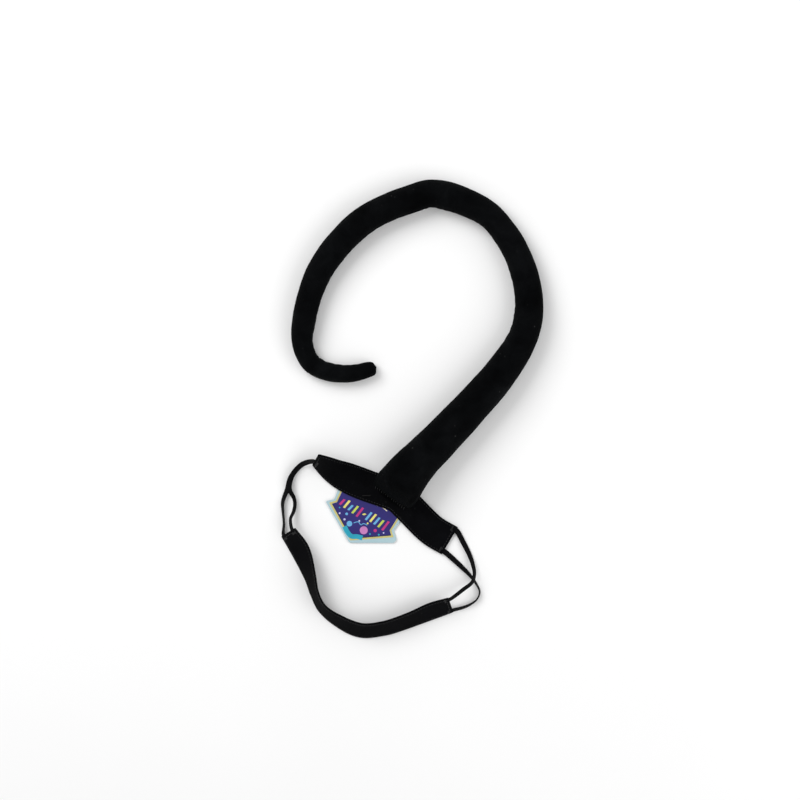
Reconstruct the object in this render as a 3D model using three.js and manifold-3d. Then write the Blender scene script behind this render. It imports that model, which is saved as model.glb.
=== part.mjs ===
// A stuffed costume tail on an elastic waist belt, lying flat: one fabric sleeve with fibre filling round a
// bendable wire, sewn on a two-layer back band, with a hang tag, four flat elastics and a two-layer front band.
// Millimetres. +Z is up off the surface, +Y runs from the belt to the top of the tail's hook.
import * as THREE from "three";
import { mergeVertices } from "three/addons/utils/BufferGeometryUtils.js";
import Module from "manifold-3d";

const wasm = await Module();
wasm.setup();

// ---- Driving dimensions ----

const GAP = 0.3; // between pieces that touch on the real object
const DEGREE = Math.PI / 180;
const UP = new THREE.Vector3(0, 0, 1);

// The belt: band widths and layers, and the height at which the back band's waist face lies.
const LAYER = 0.9;
const BACK_WIDTH = 35;
const FRONT_WIDTH = 28;
const BAND_STEPS = 70;
const STRIP_CUTS = 3; // parts that a strip's width is cut into
const WAIST_FACE_Z = 2.2;
const BAND_TOP_Z = WAIST_FACE_Z + 2 * LAYER + GAP;
const FLOOR_LIFT = 0.2; // the front band's lower edge over the floor

// Band stations from the left end to the right end: x, y, tilt of the width off the floor in degrees.
const BACK_ROUTE = [
  [-105, -54, 66],
  [-82, -68.5, 33],
  [-66, -76, 12],
  [-48, -83.3, 0],
  [-30, -89.5, 0],
  [-15, -95.5, 0],
  [-3, -106.5, 0],
  [23, -132, 0],
  [43, -144, 0],
];
const FRONT_ROUTE = [
  [-135, -134, 48],
  [-122, -154, 40],
  [-111, -183, 60],
  [-106, -201, 68],
  [-98, -217, 66],
  [-79, -232, 58],
  [-55, -242, 52],
  [-30, -240, 52],
  [-2, -231, 50],
  [23, -221, 45],
  [44, -214, 50],
];

// The flat elastics, stations x, y, z of the middle and tilt of the width in degrees.
const ELASTIC_WIDTH = 6;
const ELASTIC_THICK = 1;
const ELASTIC_STEPS = 30;
const ELASTICS = {
  elastic_left_outer: [
    [-108.8, -57.2, 8, -66],
    [-120, -60.3, 3.2, -40],
    [-132, -73, 2.2, -12],
    [-136.5, -87, 2.4, 25],
    [-141.5, -101.5, 3, 50],
    [-141.2, -112, 3.3, 62],
    [-140.2, -125, 3.4, 66],
    [-140.9, -136.3, 4.4, 55],
  ],
  elastic_left_inner: [
    [-107.2, -54.6, 14.8, -66],
    [-119.5, -58.5, 9.6, -45],
    [-131.3, -72.3, 6.6, -14],
    [-134, -86.5, 7, 15],
    [-129, -97, 4.2, 45],
    [-128, -104, 4, 50],
    [-129.5, -112, 6.5, 55],
    [-132.5, -119.5, 11, 62],
    [-131, -129.8, 17.5, 52],
  ],
  elastic_right_outer: [
    [51.1, -133.3, 3.25, 0],
    [58.5, -147, 2.6, -15],
    [64.5, -159, 3.2, -30],
    [68.6, -171, 5.8, -45],
    [70, -180.5, 8.4, -52],
    [67.5, -189, 10.6, -50],
    [57, -197.3, 14, -44],
    [43.1, -207.1, 19.7, -50],
  ],
  elastic_right_inner: [
    [37.6, -156.3, 3.25, 0],
    [45.4, -163, 2.6, -15],
    [57.2, -174, 2.7, -35],
    [65.6, -182.5, 3.2, -58],
    [72.5, -192, 3.4, -72],
    [76, -200.5, 3.5, -76],
    [73, -208.5, 3.5, -74],
    [66, -214, 3.4, -65],
    [58, -217.5, 3.2, -55],
    [47.7, -220.3, 3.3, -50],
  ],
};

// The tail: middle line in plan from the sewn end to the tip, and radius by distance along it.
const TAIL_ROUTE = [
  [-23, -96],
  [-1, -66],
  [34, -30],
  [67, 5],
  [98, 41],
  [123, 80],
  [130, 117],
  [120, 164],
  [88, 213],
  [46, 234],
  [22, 238],
  [-1, 232],
  [-45, 213],
  [-80, 182],
  [-105, 143],
  [-118, 97],
  [-119, 73],
  [-109, 52],
  [-88, 42],
  [-64, 41],
  [-38, 48],
];
const TAIL_RADIUS = [
  [0, 25.4],
  [16, 25.6],
  [40, 24],
  [85, 21],
  [180, 18.6],
  [230, 16.3],
  [300, 14.9],
  [370, 14.2],
  [425, 16],
  [470, 15.5],
  [540, 15.5],
  [610, 14.2],
  [660, 12.9],
  [700, 10.7],
  [755, 9.5],
  [785, 7.4],
];
const TAIL_FLAT = 32; // length over which the sewn end flattens
const TAIL_FLAT_HEIGHT = 4;
const TAIL_END_WIDTH = 23.5; // half width of the flattened end
const TAIL_TIP_ROUND = 6;
const TAIL_TIP_NARROW = 0.4; // share of its size that the tip loses
const TAIL_SEAT_Z = BAND_TOP_Z + LAYER + 2 * GAP; // underside of the sewn end
const TAIL_ON_BAND = 24; // distance along the tail that lies over the band
const TAIL_TO_FLOOR = 80; // distance along the tail where it has come down to the floor
const TAIL_STEP = 11;
const TAIL_SIDES = 16;
const CLOSED_END_RINGS = [0.2, 0.5]; // extra rings at a closed end, in steps from it

// The tail's hinges by distance along it: "bend" turns in the plane of the hook, "raise" across it.
const TAIL_HINGES = [
  [80, "bend"],
  [170, "raise"],
  [260, "bend"],
  [350, "bend"],
  [440, "raise"],
  [530, "bend"],
  [615, "bend"],
  [695, "bend"],
];
const HINGE_SLANT = 11 * DEGREE; // each end slants back by half of a hinge's range and a little more
const HINGE_GAP = 0.4;
const SLEEVE_THICK = 1.2;
const FILL_GAP = 0.7; // between the filling and the sleeve, wide enough where the ends curve fastest
const WIRE_RADIUS = 1.5;
const WIRE_BORE = 2;
const WIRE_SIDES = 8;
const WIRE_START = 16;
const WIRE_END_MARGIN = 12;
const BORE_REACH = 2; // the bore runs past the wire by this much

// The hang tag and its plastic fastener.
const TAG_THICK = 0.5;
const TAG_Z = 1.35;
const TAG_CORNERS = [
  [-94.1, -100.4],
  [-84.4, -98.2],
  [-80.1, -86.9],
  [-69.6, -78.9],
  [-11.4, -110.1],
  [-12.2, -123.3],
  [-19.2, -133.1],
  [-15.7, -142.4],
  [-18.5, -146.3],
  [-68.1, -146.1],
];
const TAG_CORNER_CUT = 1.8;
const TAG_PIN = [-49, -94];
const TAG_PIN_RADIUS = 0.35;
const TAG_HOLE_RADIUS = 1.2;
const BAND_HOLE_RADIUS = 0.8;
const TAG_HEAD = [5, 3, 0.8];
const TAG_BAR_RADIUS = 0.6;
const TAG_BAR_LENGTH = 9;

// The seam allowance of the sewn end, stitched flat on the back band.
const SEAM_TAB = [44, 15];
const SEAM_TAB_SHIFT = 4;

// ---- Materials ----

const look = (color, roughness, metalness = 0) => new THREE.MeshStandardMaterial({ color, roughness, metalness });
const sleeveFabric = look(0x0b0c0d, 0.95);
const bandFabric = look(0x0a0a0b, 0.9);
const elasticWeave = look(0x101011, 0.85);
const fibre = look(0xe8e6e0, 1);
const steel = look(0x8d9094, 0.4, 1);
const printedCard = look(0x26306b, 0.5);
const blackPlastic = look(0x0c0c0d, 0.35);

// ---- Shapes ----

// A closed surface from rings in order. A ring of one point is a pole. looped joins the last ring to the first.
function loft(rings, looped = false) {
  const position = [];
  const first = rings.map((ring) => {
    const start = position.length / 3;
    ring.forEach((p) => position.push(p.x, p.y, p.z));
    return start;
  });
  const index = [];
  const last = looped ? rings.length : rings.length - 1;
  for (let i = 0; i < last; i++) {
    const j = (i + 1) % rings.length;
    const sides = Math.max(rings[i].length, rings[j].length);
    for (let k = 0; k < sides; k++) {
      const next = (k + 1) % sides;
      const a = first[i] + (rings[i].length > 1 ? k : 0);
      const b = first[i] + (rings[i].length > 1 ? next : 0);
      const c = first[j] + (rings[j].length > 1 ? k : 0);
      const d = first[j] + (rings[j].length > 1 ? next : 0);
      if (a !== b) index.push(a, b, c);
      if (c !== d) index.push(b, d, c);
    }
  }
  const geometry = new THREE.BufferGeometry();
  geometry.setAttribute("position", new THREE.Float32BufferAttribute(position, 3));
  geometry.setIndex(index);
  geometry.computeVertexNormals();
  return geometry;
}

// The middle of a ring, as a pole.
const middleOf = (ring) => [ring.reduce((sum, p) => sum.add(p), new THREE.Vector3()).divideScalar(ring.length)];

function solid(geometry) {
  const bare = new THREE.BufferGeometry().setAttribute("position", geometry.getAttribute("position"));
  if (geometry.index) bare.setIndex(geometry.index);
  const merged = mergeVertices(bare, 1e-3);
  return new wasm.Manifold(
    new wasm.Mesh({
      numProp: 3,
      vertProperties: merged.attributes.position.array,
      triVerts: new Uint32Array(merged.index.array),
    }),
  );
}

function geometryOf(manifold) {
  const mesh = manifold.getMesh();
  const geometry = new THREE.BufferGeometry();
  geometry.setAttribute("position", new THREE.Float32BufferAttribute(mesh.vertProperties, 3));
  geometry.setIndex([...mesh.triVerts]);
  geometry.computeVertexNormals();
  return geometry;
}

// An upright round bar through (x, y) from low to high.
function upright([x, y], radius, low, high, sides = 12) {
  return new THREE.CylinderGeometry(radius, radius, high - low, sides)
    .rotateX(90 * DEGREE)
    .translate(x, y, (low + high) / 2);
}

const smooth = (t) => t * t * (3 - 2 * t);
const ramp = (from, to, s) => smooth(THREE.MathUtils.clamp((s - from) / (to - from), 0, 1));

// Value at s of a list of [s, value] keys, in a straight line between neighbours.
function keyed(keys, s) {
  const after = keys.findIndex(([at]) => at > s);
  if (after < 0) return keys.at(-1)[1];
  if (after === 0) return keys[0][1];
  const [s0, v0] = keys[after - 1];
  const [s1, v1] = keys[after];
  return THREE.MathUtils.lerp(v0, v1, (s - s0) / (s1 - s0));
}

// ---- Flat strips: bands and elastics ----

// Stations along a strip. Each has its middle, the direction of its width and its face's normal.
function stations(points, tilts, steps) {
  const route = new THREE.CatmullRomCurve3(points, false, "centripetal");
  const tilt = new THREE.CatmullRomCurve3(tilts.map((t) => new THREE.Vector3(t, 0, 0)), false, "catmullrom", 0.5);
  return Array.from({ length: steps + 1 }, (_, i) => {
    const t = i / steps;
    const along = route.getTangent(t);
    const across = new THREE.Vector3().crossVectors(UP, along).setZ(0).normalize();
    const width = across.multiplyScalar(Math.cos(tilt.getPoint(t).x * DEGREE));
    width.addScaledVector(UP, Math.sin(tilt.getPoint(t).x * DEGREE)).normalize();
    const face = new THREE.Vector3().crossVectors(along, width).normalize();
    return { middle: route.getPoint(t), width, face };
  });
}

// One layer of a strip, between two heights over its middle surface.
function strip(list, width, low, high) {
  const sides = Array.from({ length: STRIP_CUTS + 1 }, (_, i) => i / STRIP_CUTS - 0.5);
  const outline = [...sides.map((side) => [side, low]), ...sides.toReversed().map((side) => [side, high])];
  const rings = list.map(({ middle, width: w, face }) =>
    outline.map(([side, lift]) => middle.clone().addScaledVector(w, side * width).addScaledVector(face, lift)),
  );
  return loft([middleOf(rings[0]), ...rings, middleOf(rings.at(-1))]);
}

function bandStations(route, width, low) {
  const thick = LAYER + GAP / 2;
  const points = route.map(([x, y, tilt]) => {
    const lift = (width / 2) * Math.sin(tilt * DEGREE) + thick * Math.cos(tilt * DEGREE);
    return new THREE.Vector3(x, y, low + lift);
  });
  return stations(points, route.map(([, , tilt]) => tilt), BAND_STEPS);
}

function bandLayers(route, width, low) {
  const list = bandStations(route, width, low);
  const inner = GAP / 2;
  const outer = GAP / 2 + LAYER;
  return { face: strip(list, width, inner, outer), lining: strip(list, width, -outer, -inner) };
}

function elastic(keys) {
  const points = keys.map(([x, y, z]) => new THREE.Vector3(x, y, z));
  const list = stations(points, keys.map(([, , , tilt]) => tilt), ELASTIC_STEPS);
  return strip(list, ELASTIC_WIDTH, -ELASTIC_THICK / 2, ELASTIC_THICK / 2);
}

// ---- The tail ----

const tailPlan = new THREE.CatmullRomCurve3(
  TAIL_ROUTE.map(([x, y]) => new THREE.Vector3(x, y, 0)),
  false,
  "centripetal",
);
tailPlan.arcLengthDivisions = 2000;
const TAIL_LENGTH = tailPlan.getLength();

// The tail's section at distance s: its middle, half width and half height, less an inset from the outside.
function tailSection(s, inset = 0) {
  const u = THREE.MathUtils.clamp(s / TAIL_LENGTH, 0, 1);
  const middle = tailPlan.getPointAt(u);
  const along = tailPlan.getTangentAt(u);
  const side = new THREE.Vector3().crossVectors(UP, along);
  const radius = keyed(TAIL_RADIUS, s);
  const toEnd = Math.max(0, 1 - s / TAIL_FLAT);
  const dome = Math.sqrt(1 - toEnd * toEnd);
  const toTip = Math.max(0, 1 - (TAIL_LENGTH - s) / TAIL_TIP_ROUND);
  const tip = 1 - TAIL_TIP_NARROW * toTip * toTip;
  const halfHeight = Math.max(radius * dome, TAIL_FLAT_HEIGHT / 2) * tip;
  const halfWidth = THREE.MathUtils.lerp(TAIL_END_WIDTH, radius, Math.sqrt(1 - toEnd ** 3)) * tip;
  const seat = TAIL_SEAT_Z * (1 - ramp(TAIL_ON_BAND, TAIL_TO_FLOOR, s));
  middle.z = seat + halfHeight;
  return { middle, along, side, halfWidth: halfWidth - inset, halfHeight: halfHeight - inset };
}

// A ring of the tail at distance s. A hinge end leans back from the hinge's axis on both sides of it.
function tailRing(s, size, hinge, towards) {
  const { middle, along, side, halfWidth, halfHeight } = tailSection(s);
  return Array.from({ length: size.sides }, (_, k) => {
    const angle = (2 * Math.PI * k) / size.sides;
    const wide = Math.cos(angle) * (size.radius ?? halfWidth - size.inset);
    const high = Math.sin(angle) * (size.radius ?? halfHeight - size.inset);
    const reach = hinge === "bend" ? Math.abs(wide) : Math.abs(high);
    const shift = hinge ? towards * (reach * Math.tan(HINGE_SLANT) + HINGE_GAP) : 0;
    return middle.clone().addScaledVector(side, wide).addScaledVector(UP, high).addScaledVector(along, shift);
  });
}

// Rings from one end of a segment to the other. An end with no hinge stands inside the sleeve's end by its
// margin, and has more rings, because the tail's size changes fastest there.
function tailRings(segment, size) {
  const from = segment.startHinge ? segment.start : segment.start + size.startMargin;
  const to = segment.endHinge ? segment.end : segment.end - size.endMargin;
  const steps = Math.max(3, Math.round((to - from) / TAIL_STEP));
  const places = Array.from({ length: steps + 1 }, (_, i) => i);
  if (!segment.startHinge) places.push(...CLOSED_END_RINGS);
  if (!segment.endHinge) places.push(...CLOSED_END_RINGS.map((place) => steps - place));
  return places
    .sort((a, b) => a - b)
    .map((place) => {
      const s = from + ((to - from) * place) / steps;
      if (place === 0 && segment.startHinge) return tailRing(s, size, segment.startHinge, 1);
      if (place === steps && segment.endHinge) return tailRing(s, size, segment.endHinge, -1);
      return tailRing(s, size);
    });
}

// A tube from an outer and an inner set of rings. An end with no hinge is closed.
function tube(segment, outerSize, innerSize) {
  const outer = tailRings(segment, outerSize);
  const inner = tailRings(segment, innerSize).reverse();
  if (segment.startHinge && segment.endHinge) return loft([...outer, ...inner], true);
  if (!segment.startHinge) return loft([middleOf(outer[0]), ...outer, ...inner, middleOf(inner.at(-1))]);
  return loft([middleOf(inner[0]), ...inner, ...outer, middleOf(outer.at(-1))]);
}

function rod(segment, size) {
  const rings = tailRings(segment, size);
  return loft([middleOf(rings[0]), ...rings, middleOf(rings.at(-1))]);
}

function tailSegments() {
  const starts = [[0, null], ...TAIL_HINGES];
  const ends = [...TAIL_HINGES, [TAIL_LENGTH, null]];
  return starts.map(([start, startHinge], i) => ({ start, startHinge, end: ends[i][0], endHinge: ends[i][1] }));
}

const insetSize = (inset, margin = inset * 2) => ({
  inset,
  sides: TAIL_SIDES,
  startMargin: margin,
  endMargin: margin,
});
const sleeveBoreSize = insetSize(SLEEVE_THICK);
const fillSize = insetSize(SLEEVE_THICK + FILL_GAP, sleeveBoreSize.startMargin + GAP);
const wireSize = { radius: WIRE_RADIUS, sides: WIRE_SIDES, startMargin: WIRE_START, endMargin: WIRE_END_MARGIN };
const boreSize = {
  radius: WIRE_BORE,
  sides: TAIL_SIDES,
  startMargin: WIRE_START - BORE_REACH,
  endMargin: WIRE_END_MARGIN - BORE_REACH,
};

// ---- The hang tag ----

// The card's outline, with its corners rounded.
function tagShape() {
  const corners = TAG_CORNERS.map(([x, y]) => new THREE.Vector2(x, y));
  const shape = new THREE.Shape();
  corners.forEach((corner, i) => {
    const before = corners.at(i - 1);
    const after = corners[(i + 1) % corners.length];
    const arrive = corner.clone().add(before.clone().sub(corner).setLength(TAG_CORNER_CUT));
    const leave = corner.clone().add(after.clone().sub(corner).setLength(TAG_CORNER_CUT));
    if (i === 0) shape.moveTo(arrive.x, arrive.y);
    else shape.lineTo(arrive.x, arrive.y);
    shape.quadraticCurveTo(corner.x, corner.y, leave.x, leave.y);
  });
  const hole = new THREE.Path().absarc(...TAG_PIN, TAG_HOLE_RADIUS, 0, 2 * Math.PI);
  shape.holes.push(hole);
  return shape;
}

function tagCard() {
  const options = { depth: TAG_THICK, bevelEnabled: false, curveSegments: 5 };
  return new THREE.ExtrudeGeometry(tagShape(), options).translate(0, 0, TAG_Z);
}

// Head under the card, thread through the card and both layers, and cross bar on the band: one moulding.
function tagFastener() {
  const [x, y] = TAG_PIN;
  const headZ = TAG_Z - GAP - TAG_HEAD[2] / 2;
  const barZ = BAND_TOP_Z + GAP + TAG_BAR_RADIUS;
  const head = new THREE.BoxGeometry(...TAG_HEAD).translate(x, y, headZ);
  const thread = upright(TAG_PIN, TAG_PIN_RADIUS, headZ, barZ);
  const bar = new THREE.CylinderGeometry(TAG_BAR_RADIUS, TAG_BAR_RADIUS, TAG_BAR_LENGTH, 12)
    .rotateZ(90 * DEGREE)
    .translate(x, y, barZ);
  return geometryOf(solid(head).add(solid(thread)).add(solid(bar)));
}

function pierced(geometry) {
  const drill = upright(TAG_PIN, BAND_HOLE_RADIUS, 0, BAND_TOP_Z + GAP);
  return geometryOf(solid(geometry).subtract(solid(drill)));
}

// ---- The seam tab ----

function seamTab() {
  const [length, depth] = SEAM_TAB;
  const { middle, along, side } = tailSection(0);
  const shape = new THREE.Shape();
  shape.absarc(length / 2 - depth / 2, 0, depth / 2, -Math.PI / 2, Math.PI / 2);
  shape.absarc(depth / 2 - length / 2, 0, depth / 2, Math.PI / 2, (3 * Math.PI) / 2);
  const options = { depth: LAYER, bevelEnabled: false, curveSegments: 8 };
  return new THREE.ExtrudeGeometry(shape, options)
    .rotateZ(Math.atan2(side.y, side.x))
    .translate(middle.x + along.x * SEAM_TAB_SHIFT, middle.y + along.y * SEAM_TAB_SHIFT, BAND_TOP_Z + GAP);
}

// ---- Assembly ----

const part = new THREE.Group();
function add(name, geometry, material) {
  const mesh = new THREE.Mesh(geometry, material);
  mesh.name = name;
  part.add(mesh);
}

const back = bandLayers(BACK_ROUTE, BACK_WIDTH, WAIST_FACE_Z);
add("back_band_face", pierced(back.face), bandFabric);
add("back_band_lining", pierced(back.lining), bandFabric);
add("tail_seam_tab", seamTab(), sleeveFabric);
add("tag_fastener", tagFastener(), blackPlastic);
add("tag_card", tagCard(), printedCard);

const front = bandLayers(FRONT_ROUTE, FRONT_WIDTH, FLOOR_LIFT);
add("front_band_face", front.face, bandFabric);
add("front_band_lining", front.lining, bandFabric);
Object.entries(ELASTICS).forEach(([name, keys]) => add(name, elastic(keys), elasticWeave));

tailSegments().forEach((segment, i) => {
  add(`tail_sleeve_${i + 1}`, tube(segment, insetSize(0), sleeveBoreSize), sleeveFabric);
  add(`tail_fill_${i + 1}`, tube(segment, fillSize, boreSize), fibre);
  add(`tail_wire_${i + 1}`, rod(segment, wireSize), steel);
});

export default part;
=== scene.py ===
# %% [markdown]
# # A costume tail on an elastic waist belt
# The object is a soft tail: a tube of black velour stuffed with fibre round a bendable wire, lying flat and
# bent into a hook. Its wide end is sewn on a belt of two flat cloth bands that four flat elastics join into
# a loop, and a printed card hangs under the back band. The sizes, bodies and joints are settled already, so
# this file only makes the looks. Everything is in metres, seen from straight above, with +Z towards the
# eye.

# %% Load the frame
import math

import bmesh
import bpy
import numpy as np
from mathutils import Matrix, Vector, noise


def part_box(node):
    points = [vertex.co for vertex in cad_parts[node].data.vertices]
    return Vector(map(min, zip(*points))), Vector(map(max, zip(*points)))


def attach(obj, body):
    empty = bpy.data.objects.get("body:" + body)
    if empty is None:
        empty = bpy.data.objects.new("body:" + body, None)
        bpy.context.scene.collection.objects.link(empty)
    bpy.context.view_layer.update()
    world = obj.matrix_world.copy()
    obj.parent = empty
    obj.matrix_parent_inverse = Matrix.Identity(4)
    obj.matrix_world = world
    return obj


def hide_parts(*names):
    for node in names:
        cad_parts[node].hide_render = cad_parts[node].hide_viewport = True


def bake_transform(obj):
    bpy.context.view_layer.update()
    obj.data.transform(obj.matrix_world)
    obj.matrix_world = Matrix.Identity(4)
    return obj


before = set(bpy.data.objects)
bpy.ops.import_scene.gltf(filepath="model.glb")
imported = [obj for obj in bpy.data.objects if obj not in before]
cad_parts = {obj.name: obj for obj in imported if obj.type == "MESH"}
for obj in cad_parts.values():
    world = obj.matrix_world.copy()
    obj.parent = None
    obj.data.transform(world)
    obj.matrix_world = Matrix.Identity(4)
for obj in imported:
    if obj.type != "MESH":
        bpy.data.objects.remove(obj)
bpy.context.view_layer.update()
MM = 0.001
UP = np.array([0.0, 0.0, 1.0])

# %% [markdown]
# ## Camera
# The camera hangs over the object and looks straight down, far off with a long lens, so that the raised
# tail isn't drawn larger than the flat belt. The object sits a little right of and below the middle.

# %% Camera
VIEW_WIDTH = 0.8845
VIEW_HEIGHT = 2.6
VIEW_CENTRE = (-0.0120, 0.0115)
SENSOR = 36.0

camera_data = bpy.data.cameras.new("camera")
camera_data.sensor_width = SENSOR
camera_data.lens = SENSOR * VIEW_HEIGHT / VIEW_WIDTH
camera = bpy.data.objects.new("camera", camera_data)
camera.location = (*VIEW_CENTRE, VIEW_HEIGHT)
bpy.context.collection.objects.link(camera)
bpy.context.scene.camera = camera
print(f"lens {camera_data.lens:.0f} mm")

# %% [markdown]
# ## Smooth lines
# Bands, elastics and the tail all follow a smooth line through a few points. A Catmull-Rom line passes
# through every point it is given. The centripetal kind spaces its knots by the square root of each gap,
# which stops it from looping where two points are close. Tilts are eased with even knots, as plain numbers.

# %% Lines through points
PER_SPAN = 24


def span(a, b, c, d, gaps, count):
    """Points from b towards c, on the cubic whose slopes come from a and d."""
    g0, g1, g2 = gaps
    out = ((b - a) / g0 - (c - a) / (g0 + g1) + (c - b) / g1) * g1
    into = ((c - b) / g1 - (d - b) / (g1 + g2) + (d - c) / g2) * g1
    t = np.linspace(0, 1, count, endpoint=False)[:, None]
    return b + out * t + (3 * (c - b) - 2 * out - into) * t**2 + (2 * (b - c) + out + into) * t**3


def smooth_line(points, even=False, count=PER_SPAN):
    """A Catmull-Rom line through points, one array row each. even gives every gap the same knot spacing."""
    p = np.array(points, float).reshape(len(points), -1)
    p = np.vstack([2 * p[0] - p[1], p, 2 * p[-1] - p[-2]])
    knots = np.ones(len(p) - 1) if even else np.sqrt(np.linalg.norm(np.diff(p, axis=0), axis=1))
    rows = [span(*p[i : i + 4], knots[i : i + 3], count) for i in range(len(p) - 3)]
    return np.vstack([*rows, p[-2][None]])


def unit(v):
    """Rows of v, each made one long."""
    return v / np.maximum(np.linalg.norm(v, axis=-1, keepdims=True), 1e-12)


class Line:
    """A line with values along it, looked up by distance s from its start."""

    def __init__(self, points, **values):
        self.points = points
        steps = np.linalg.norm(np.diff(points, axis=0), axis=1)
        self.s = np.concatenate([[0], np.cumsum(steps)])
        self.length = float(self.s[-1])
        self.along = unit(np.gradient(points, self.s, axis=0))
        self.values = values

    def look(self, table, s):
        s = np.clip(s, 0, self.length)
        return np.stack([np.interp(s, self.s, column) for column in table.T], -1)

    def at(self, s):
        return self.look(self.points, s)

    def direction(self, s):
        return unit(self.look(self.along, s))

    def value(self, name, s):
        return self.look(self.values[name], s)


# %% [markdown]
# ## Rolled grids
# Every strip, tube and band here is one grid rolled into a closed form: u runs along it and v round it. The
# grid comes from bmesh, a rule moves its points, and merging doubles closes the roll and its ends. Before
# the merge each corner gets a UV in metres, so a weave can follow the cloth whatever way it bends.

# %% Rolled grids
WELD = 2e-6


def to_object(bm, name):
    """Turns a finished bmesh into a smooth-shaded object at the origin."""
    mesh = bpy.data.meshes.new(name)
    bm.to_mesh(mesh)
    bm.free()
    mesh.shade_smooth()
    made = bpy.data.objects.new(name, mesh)
    bpy.context.collection.objects.link(made)
    return made


def face_outwards(bm):
    """Turns the faces of a closed mesh outwards."""
    bmesh.ops.recalc_face_normals(bm, faces=bm.faces[:])
    if bm.calc_volume(signed=True) < 0:
        bmesh.ops.reverse_faces(bm, faces=bm.faces[:])


def rolled(name, along, around, rule, size):
    """A grid whose points go where rule(u, v) says. size is its length and its girth, for the UVs."""
    bm = bmesh.new()
    bmesh.ops.create_grid(bm, x_segments=along, y_segments=around, size=0.5)
    uv = bm.loops.layers.uv.new("cloth")
    for face in bm.faces:
        for corner in face.loops:
            corner[uv].uv = ((corner.vert.co.x + 0.5) * size[0], (corner.vert.co.y + 0.5) * size[1])
    flat = np.array([v.co for v in bm.verts]) + 0.5
    for vert, place in zip(bm.verts, rule(flat[:, 0], flat[:, 1])):
        vert.co = place
    bmesh.ops.remove_doubles(bm, verts=bm.verts[:], dist=WELD)
    bmesh.ops.dissolve_degenerate(bm, dist=WELD / 2, edges=bm.edges[:])
    face_outwards(bm)
    return bm


def ripple(points, scale, seed=0.0):
    """Smooth noise from -1 to 1 at each point, with features about 1 / scale long."""
    return np.array([noise.noise(Vector(p) * scale + Vector((seed, 0, 0))) for p in points])


def eased(t):
    t = np.clip(t, 0, 1)
    return t * t * (3 - 2 * t)


# %% [markdown]
# ## Strips
# A band or an elastic is a flat strip. At each place along it, three directions matter: along it, across
# its width, and out of its face. The width leans off the floor by a tilt, which is how a soft belt lies:
# partly on its edge, partly flat.

# %% Strip frames
def strip_line(stations, tilts):
    """The line of a strip with its width and face directions."""
    points = smooth_line(stations)
    tilt = np.radians(smooth_line(tilts, even=True))
    along = unit(np.gradient(points, axis=0))
    across = np.cross(UP, along)
    across[:, 2] = 0
    width = unit(unit(across) * np.cos(tilt) + UP * np.sin(tilt))
    return Line(points, width=width, face=unit(np.cross(along, width)))


def strip_rule(line, width, low, high, shape=None):
    """The rule of a strip's rounded section between two heights over its middle surface.
    shape(s, x) bends the cloth out of its face. x runs from -width / 2 to width / 2."""
    thick = high - low

    def rule(u, v):
        s = u * line.length
        x = -width / 2 * np.cos(2 * math.pi * v)
        side = np.where(v < 0.5, 1.0, -1.0) * (np.abs(v - 0.5) < 0.5 - 1e-9)
        edge = np.clip((width / 2 - np.abs(x)) / (thick / 2), 0, 1)
        end = np.clip(np.minimum(s, line.length - s) / (thick / 2), 0, 1)
        round_off = np.sqrt(1 - (1 - edge) ** 2) * np.sqrt(1 - (1 - end) ** 2)
        lift = (low + high) / 2 + side * thick / 2 * round_off
        if shape is not None:
            lift = lift + shape(s, x)
        return line.at(s) + line.value("width", s) * x[:, None] + line.value("face", s) * lift[:, None]

    return rule


# %% [markdown]
# ## The belt's lines
# The back band lies flat except at its left end, which stands nearly on edge. The front band leans all the
# way round and is creased near its lowest corner. Both are sewn from a face and a lining, one layer each.

# %% Belt sizes and routes
LAYER = 0.9 * MM
LAYER_GAP = 0.3 * MM
BACK_WIDTH = 35 * MM
FRONT_WIDTH = 28 * MM
WAIST_FACE_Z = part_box("back_band_lining")[0][2]
FLOOR_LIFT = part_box("front_band_lining")[0][2]
BAND_HALF = LAYER + LAYER_GAP / 2
BAND_TOP_Z = WAIST_FACE_Z + 2 * BAND_HALF

BACK_ROUTE = [
    (-105, -54, 66),
    (-82, -68.5, 33),
    (-66, -76, 12),
    (-48, -83.3, 0),
    (-30, -89.5, 0),
    (-15, -95.5, 0),
    (-3, -106.5, 0),
    (23, -132, 0),
    (43, -144, 0),
]
FRONT_ROUTE = [
    (-135, -134, 48),
    (-122, -154, 40),
    (-111, -183, 60),
    (-106, -201, 68),
    (-98, -217, 66),
    (-79, -232, 58),
    (-55, -242, 52),
    (-30, -240, 52),
    (-2, -231, 50),
    (23, -221, 45),
    (44, -214, 50),
]


def band_line(route, width, low):
    """The middle line of a band whose lower edge keeps the height low."""
    stations = []
    for x, y, tilt in route:
        lean = math.radians(tilt)
        z = low + width / 2 * math.sin(lean) + BAND_HALF * math.cos(lean)
        stations.append((x * MM, y * MM, z))
    return strip_line(stations, [tilt for _, _, tilt in route])


back_line = band_line(BACK_ROUTE, BACK_WIDTH, WAIST_FACE_Z)
front_line = band_line(FRONT_ROUTE, FRONT_WIDTH, FLOOR_LIFT)
print(f"back band {back_line.length * 1000:.0f} mm, front band {front_line.length * 1000:.0f} mm")

# %% [markdown]
# ## Elastics
# Four narrow woven elastics join the band ends, two at each side. They have gone slack, so they wander,
# twist and pass over each other. Each is a flat cord: its ends are caught between a band's two layers, so
# its line starts and stops a little way inside the bands and leaves them square to their ends.

# %% Elastic routes
ELASTIC_WIDTH = 6 * MM
ELASTIC_THICK = 1 * MM
ELASTIC_TUCK = 2.5 * MM

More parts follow.
